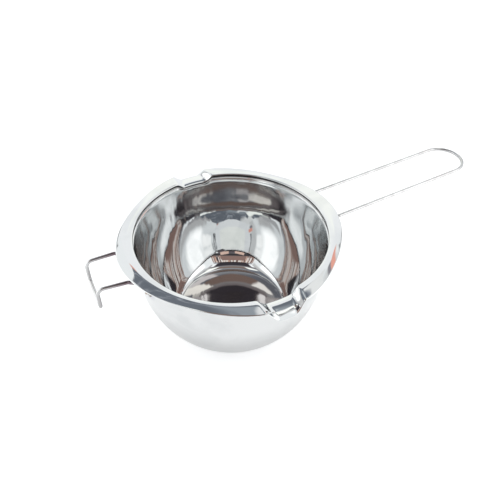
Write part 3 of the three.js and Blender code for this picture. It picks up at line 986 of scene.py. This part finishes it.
FRONT_WALL = ((1.10, 1.13, 1.14), X, Z, (
    ((-0.80, 0.80), (0.88, 1.20), 0.0, 0.06, (0.52, 0.52, 0.54)),
    ((-0.48, 0.46), (0.68, 1.20), 0.0, 0.06, (0.10, 0.085, 0.09)),
    ((-0.70, 0.70), (0.60, 0.91), 0.0, 0.04, (0.34, 0.22, 0.19)),
    ((-0.36, -0.33), (0.55, 1.05), 0.0, 0.02, (0.60, 0.42, 0.36)),
    ((-0.43, -0.40), (0.60, 1.20), 0.0, 0.02, (0.40, 0.37, 0.36)),
    ((0.32, 0.34), (0.55, 1.20), 0.0, 0.02, (0.75, 0.54, 0.46)),
    ((0.39, 0.43), (0.60, 1.20), 0.0, 0.02, (0.34, 0.32, 0.32)),
    ((-0.52, 0.52), (0.545, 0.615), 0.0, 0.03, (0.06, 0.055, 0.06)),
    ((-0.34, 0.36), (0.42, 0.55), 0.0, 0.03, (0.13, 0.11, 0.12)),
    ((-0.26, -0.04), (0.47, 0.54), -0.2, 0.02, (0.85, 0.60, 0.50)),
    ((0.10, 0.30), (0.47, 0.54), 0.2, 0.02, (0.85, 0.60, 0.50)),
    ((-0.42, 0.42), (0.93, 1.20), 0.0, 0.06, (0.05, 0.045, 0.05)),
))


def limits(t, value, low, high, soft):
    """1 between the two limits and 0 outside, with soft borders."""
    rise = t.ramp(t.sub(value, low), -soft / 2, soft / 2, smooth=True)
    fall = t.ramp(t.sub(value, high), -soft / 2, soft / 2, 1.0, 0.0, smooth=True)
    return t.mul(rise, fall)


def lay_patches(t, cloth, across, up, patches):
    """Lays each patch of a list over the cloth so far."""
    for sideways, upward, slant, soft, colour in patches:
        straight = t.sub(up, t.mul(across, slant))
        share = t.mul(limits(t, across, *sideways, soft), limits(t, straight, *upward, soft))
        cloth = mix(t, cloth, colour, share)
    return cloth


# %% Roof's slate and front flap
SLATE_COLOUR = (0.19, 0.21, 0.245)
SHEEN_COLOUR = (0.42, 0.45, 0.50)
SHEEN_SCALE = 5.0
SHEEN_NOISE = (0.52, 0.68)
SLATE_EDGE = (0.10, 0.18)
SLATE_SLANT = 0.5
FOLD_SPACING = 0.045     # width of one fold of the front flap
FOLD_SHADE, SHADE_NOISE = (0.09, 0.08, 0.09), (0.41, 0.45)
FOLD_WARM, WARM_NOISE = (0.70, 0.46, 0.37), (0.43, 0.46)
FOLD_LIT, LIT_NOISE = (1.00, 0.98, 0.95), (0.51, 0.56)
HEM_MIDDLE, HEM_SIDE = 0.80, 0.66
HEM_STEP = (0.28, 0.34)
HEM_BORDER = 0.025
FLAP_TOP = (0.905, 0.955)
FLAP_HALF, FLAP_BORDER = 0.56, 0.1


def hang_slate(t, cloth, place):
    """Slate cloth with a soft sheen over the back of the roof, and the patches over it."""
    across, up, _ = t.split(place)
    turned_back = t.add(up, t.mul(t.math("ABSOLUTE", across), SLATE_SLANT))
    sheen = t.node("ShaderNodeTexNoise", named={
        "Vector": place, "Scale": SHEEN_SCALE, "Detail": 2.0, "Distortion": 1.5})
    slate = mix(t, SLATE_COLOUR, SHEEN_COLOUR, t.ramp(sheen, *SHEEN_NOISE, smooth=True))
    cloth = mix(t, cloth, slate, t.ramp(turned_back, *SLATE_EDGE, smooth=True))
    return lay_patches(t, cloth, across, up, OVER_SLATE)


def hang_folds(t, cloth, place):
    """Narrow upright folds of the front flap, lit where they turn to the light."""
    across, _, up = t.split(place)
    squeezed = t.node("ShaderNodeCombineXYZ", t.math("DIVIDE", across, FOLD_SPACING), up)
    folds = t.node("ShaderNodeTexNoise", named={
        "Vector": squeezed, "Scale": 1.0, "Detail": 1.0})
    hem = t.ramp(t.math("ABSOLUTE", across), *HEM_STEP, HEM_MIDDLE, HEM_SIDE, smooth=True)
    rows = t.mul(t.ramp(t.sub(up, hem), -HEM_BORDER, HEM_BORDER, smooth=True),
                 t.ramp(up, *FLAP_TOP, 1.0, 0.0, smooth=True))
    flap = t.mul(limits(t, across, -FLAP_HALF, FLAP_HALF, FLAP_BORDER), rows)
    cloth = mix(t, cloth, FOLD_SHADE, t.mul(t.ramp(folds, *SHADE_NOISE, 1.0, 0.0), flap))
    cloth = mix(t, cloth, FOLD_WARM, t.mul(t.ramp(folds, *WARM_NOISE, smooth=True), flap))
    return mix(t, cloth, FOLD_LIT, t.mul(t.ramp(folds, *LIT_NOISE, smooth=True), flap))


# %% Walls of the tent
def tent_wall(name, wall, hang=None):
    """A glowing cloth: one plain colour, its patches, and what else hangs on it."""
    ground, across_axis, up_axis, patches = wall
    material = bpy.data.materials.new(name)
    material.use_nodes = True
    t = Tree(material.node_tree)
    place = t.vector("DIVIDE", t.node("ShaderNodeTexCoord", output="Object"),
                     (TENT_HEIGHT,) * 3)
    axes = t.split(place)
    across, up = axes[across_axis], axes[up_axis]
    cloth = lay_patches(t, ground, across, up, patches)
    if hang:
        cloth = hang(t, cloth, place)
    glow = t.node("ShaderNodeEmission", cloth)
    nodes = material.node_tree.nodes
    nodes.remove(nodes["Principled BSDF"])
    material.node_tree.links.new(glow, nodes["Material Output"].inputs["Surface"])
    return material


walls = [
    tent_wall("tent_left", LEFT_WALL),
    tent_wall("tent_back", BACK_WALL),
    tent_wall("tent_right", RIGHT_WALL),
    tent_wall("tent_front", FRONT_WALL, hang_folds),
    tent_wall("tent_roof", ROOF, hang_slate),
]

side, back, front = [TENT_HEIGHT * share for share in (TENT_SIDE, TENT_BACK, TENT_FRONT)]
roof_height = TENT_HEIGHT * TENT_ROOF
corners = [(x, y, z) for z in (0.0, roof_height) for y in (-front, back) for x in (-side, side)]
tent_mesh = bpy.data.meshes.new("light_tent")
tent_mesh.from_pydata(corners, [], [(2, 0, 4, 6), (3, 2, 6, 7), (1, 3, 7, 5), (0, 1, 5, 4),
                                    (4, 5, 7, 6)])
light_tent = bpy.data.objects.new("light_tent", tent_mesh)
bpy.context.scene.collection.objects.link(light_tent)
light_tent.rotation_euler.z = CAMERA_TURN + math.pi / 2
light_tent.visible_camera = False
for i, wall in enumerate(walls):
    tent_mesh.materials.append(wall)
    tent_mesh.polygons[i].material_index = i

world = bpy.data.worlds.new("room")
world.use_nodes = True
bpy.context.scene.world = world
world.node_tree.nodes["Background"].inputs["Color"].default_value = (1, 1, 1, 1)
bpy.context.scene.cycles.glossy_bounces = MIRROR_BOUNCES
print("light tent walls:", [wall.name for wall in walls])

# %% [markdown]
# ## Floor
#
# The pot stands on card that looks plain white. The card could be lit to white by strong
# lamps, but those would wash out the steel too. Here it glows a little for the eye and for
# mirrors, and stays a matt grey for everything else, so it still takes the pot's shadow.
# Beside the pot the glow that mirrors see is dimmed by a painted shade. It stands for the
# light that a real bowl keeps off the card there.

# %% Floor
FLOOR_REACH = 5.0
FLOOR_DROP = 0.2 * MM
FLOOR_GREY = (0.7, 0.7, 0.7, 1)
FLOOR_LIGHT = (1, 1.015, 1.025, 1)
FLOOR_GLOW = 0.52
SHADE_INNER = 45 * MM
SHADE_OUTER = 85 * MM
SHADE_GLOW = 0.45
floor_corners = [(-FLOOR_REACH, -FLOOR_REACH, 0), (FLOOR_REACH, -FLOOR_REACH, 0),
                 (FLOOR_REACH, FLOOR_REACH, 0), (-FLOOR_REACH, FLOOR_REACH, 0)]
floor_mesh = bpy.data.meshes.new("floor")
floor_mesh.from_pydata(floor_corners, [], [(0, 1, 2, 3)])
floor = bpy.data.objects.new("floor", floor_mesh)
bpy.context.scene.collection.objects.link(floor)
floor.location.z = -FLOOR_DROP
floor_material = bpy.data.materials.new("floor")
floor_material.use_nodes = True
t = Tree(floor_material.node_tree)
shader = floor_material.node_tree.nodes["Principled BSDF"]
shader.inputs["Base Color"].default_value = FLOOR_GREY
shader.inputs["Roughness"].default_value = 1
shader.inputs["Specular IOR Level"].default_value = 0
shader.inputs["Emission Color"].default_value = FLOOR_LIGHT
path = t.node("ShaderNodeLightPath").node
seen = t.math("MAXIMUM", path.outputs["Is Camera Ray"], path.outputs["Is Transmission Ray"])
away = t.vector("LENGTH", t.node("ShaderNodeTexCoord", output="Object"), output="Value")
mirrored = t.mul(path.outputs["Is Glossy Ray"],
                 t.ramp(away, SHADE_INNER, SHADE_OUTER, SHADE_GLOW, 1.0, smooth=True))
glow = t.mul(t.math("MAXIMUM", seen, mirrored), FLOOR_GLOW)
floor_material.node_tree.links.new(glow, shader.inputs["Emission Strength"])
floor_mesh.materials.append(floor_material)
print("floor glow:", FLOOR_GLOW, "dimmed by the pot to:", FLOOR_GLOW * SHADE_GLOW)

bpy.context.scene.view_settings.view_transform = "Standard"
